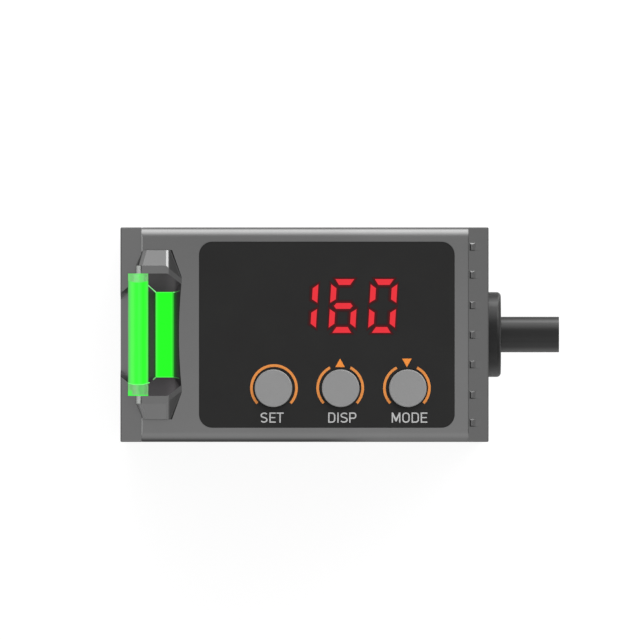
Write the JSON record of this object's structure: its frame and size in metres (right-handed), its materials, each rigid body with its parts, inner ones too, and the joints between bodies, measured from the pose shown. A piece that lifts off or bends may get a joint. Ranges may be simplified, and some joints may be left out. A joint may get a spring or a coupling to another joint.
{
  "type": "time-of-flight photoelectric sensor",
  "caption": "Compact box-shaped time-of-flight photoelectric sensor with a lit digital display, round setting keys, a raised green status light and a short cable at its rear.",
  "frame": {"origin": "middle of the flat base, opposite the control face", "axes": "+Z towards the control face, +X towards the cable, -X along the light beam, +Y across the body, away from the keys"},
  "size_m": [0.0514, 0.025, 0.051],
  "materials": {
    "main_housing": "satin, dark grey coat",
    "front_cover": "satin, dark grey coat",
    "rear_cover": "satin, dark grey coat",
    "indicator_bezel": "satin, dark grey coat",
    "indicator_liner": "dark grey",
    "light_bar": "clear, lit green",
    "light_window": "clear, lit green",
    "indicator_board": "green circuit board",
    "indicator_lamps": "white and clear",
    "front_window": "dark infrared filter",
    "window_tape": "black",
    "front_seal": "black",
    "rear_seal": "dark red brown",
    "rear_screws": "plated",
    "bush_upper": "turned",
    "bush_lower": "turned",
    "control_overlay": "satin black film",
    "display_filter": "smoked red",
    "display_module": "black face",
    "display_segments": "diffusing red",
    "display_board": "green circuit board",
    "key_gasket": "black",
    "key_set": "light grey",
    "key_disp": "light grey",
    "key_mode": "light grey",
    "plunger_set": "natural",
    "plunger_disp": "natural",
    "plunger_mode": "natural",
    "switch_bodies": "black",
    "optics_block": "black",
    "receiver_lens": "clear",
    "transmitter_lens": "clear",
    "lens_ring": "thin spacer",
    "laser_diode": "gold plated can",
    "laser_holder": "turned",
    "optics_board": "green circuit board",
    "receiver_chip": "black",
    "main_board": "green circuit board",
    "board_parts": "black",
    "board_link": "natural",
    "wire_header": "natural",
    "cable_flange": "black",
    "cable_clamp": "crimped sleeve",
    "cable_jacket": "black sheath",
    "core_brown": "brown",
    "core_white": "white",
    "core_blue": "blue",
    "core_black": "black",
    "core_grey": "grey",
    "core_copper": "bare copper"
  },
  "bodies": {
    "housing": {"main_housing": "main_housing", "front_cover": "front_cover", "rear_cover": "rear_cover", "indicator_bezel": "indicator_bezel", "indicator_liner": "indicator_liner", "light_bar": "light_bar", "light_window": "light_window", "indicator_board": "indicator_board", "indicator_lamps": "indicator_lamps", "front_window": "front_window", "window_tape": "window_tape", "front_seal": "front_seal", "rear_seal": "rear_seal", "rear_screws": "rear_screws", "bush_upper": "bush_upper", "bush_lower": "bush_lower", "control_overlay": "control_overlay", "display_filter": "display_filter", "display_module": "display_module", "display_segments": "display_segments", "display_board": "display_board", "key_gasket": "key_gasket", "switch_bodies": "switch_bodies", "optics_block": "optics_block", "receiver_lens": "receiver_lens", "transmitter_lens": "transmitter_lens", "lens_ring": "lens_ring", "laser_diode": "laser_diode", "laser_holder": "laser_holder", "optics_board": "optics_board", "receiver_chip": "receiver_chip", "main_board": "main_board", "board_parts": "board_parts", "board_link": "board_link", "wire_header": "wire_header", "cable_flange": "cable_flange", "cable_clamp": "cable_clamp", "cable_jacket": "cable_jacket", "core_brown": "core_brown", "core_white": "core_white", "core_blue": "core_blue", "core_black": "core_black", "core_grey": "core_grey", "core_copper": "core_copper"},
    "set_key": {"key_set": "key_set", "plunger_set": "plunger_set"},
    "disp_key": {"key_disp": "key_disp", "plunger_disp": "plunger_disp"},
    "mode_key": {"key_mode": "key_mode", "plunger_mode": "plunger_mode"}
  },
  "joints": [
    {"name": "set_key_press", "type": "slide", "parent": "housing", "child": "set_key", "axis": [0, 0, -1], "range_m": [0, 0.0005], "stiffness_N_per_m": 2000, "springref_m": -0.0002},
    {"name": "disp_key_press", "type": "slide", "parent": "housing", "child": "disp_key", "axis": [0, 0, -1], "range_m": [0, 0.0005], "stiffness_N_per_m": 2000, "springref_m": -0.0002},
    {"name": "mode_key_press", "type": "slide", "parent": "housing", "child": "mode_key", "axis": [0, 0, -1], "range_m": [0, 0.0005], "stiffness_N_per_m": 2000, "springref_m": -0.0002}
  ]
}
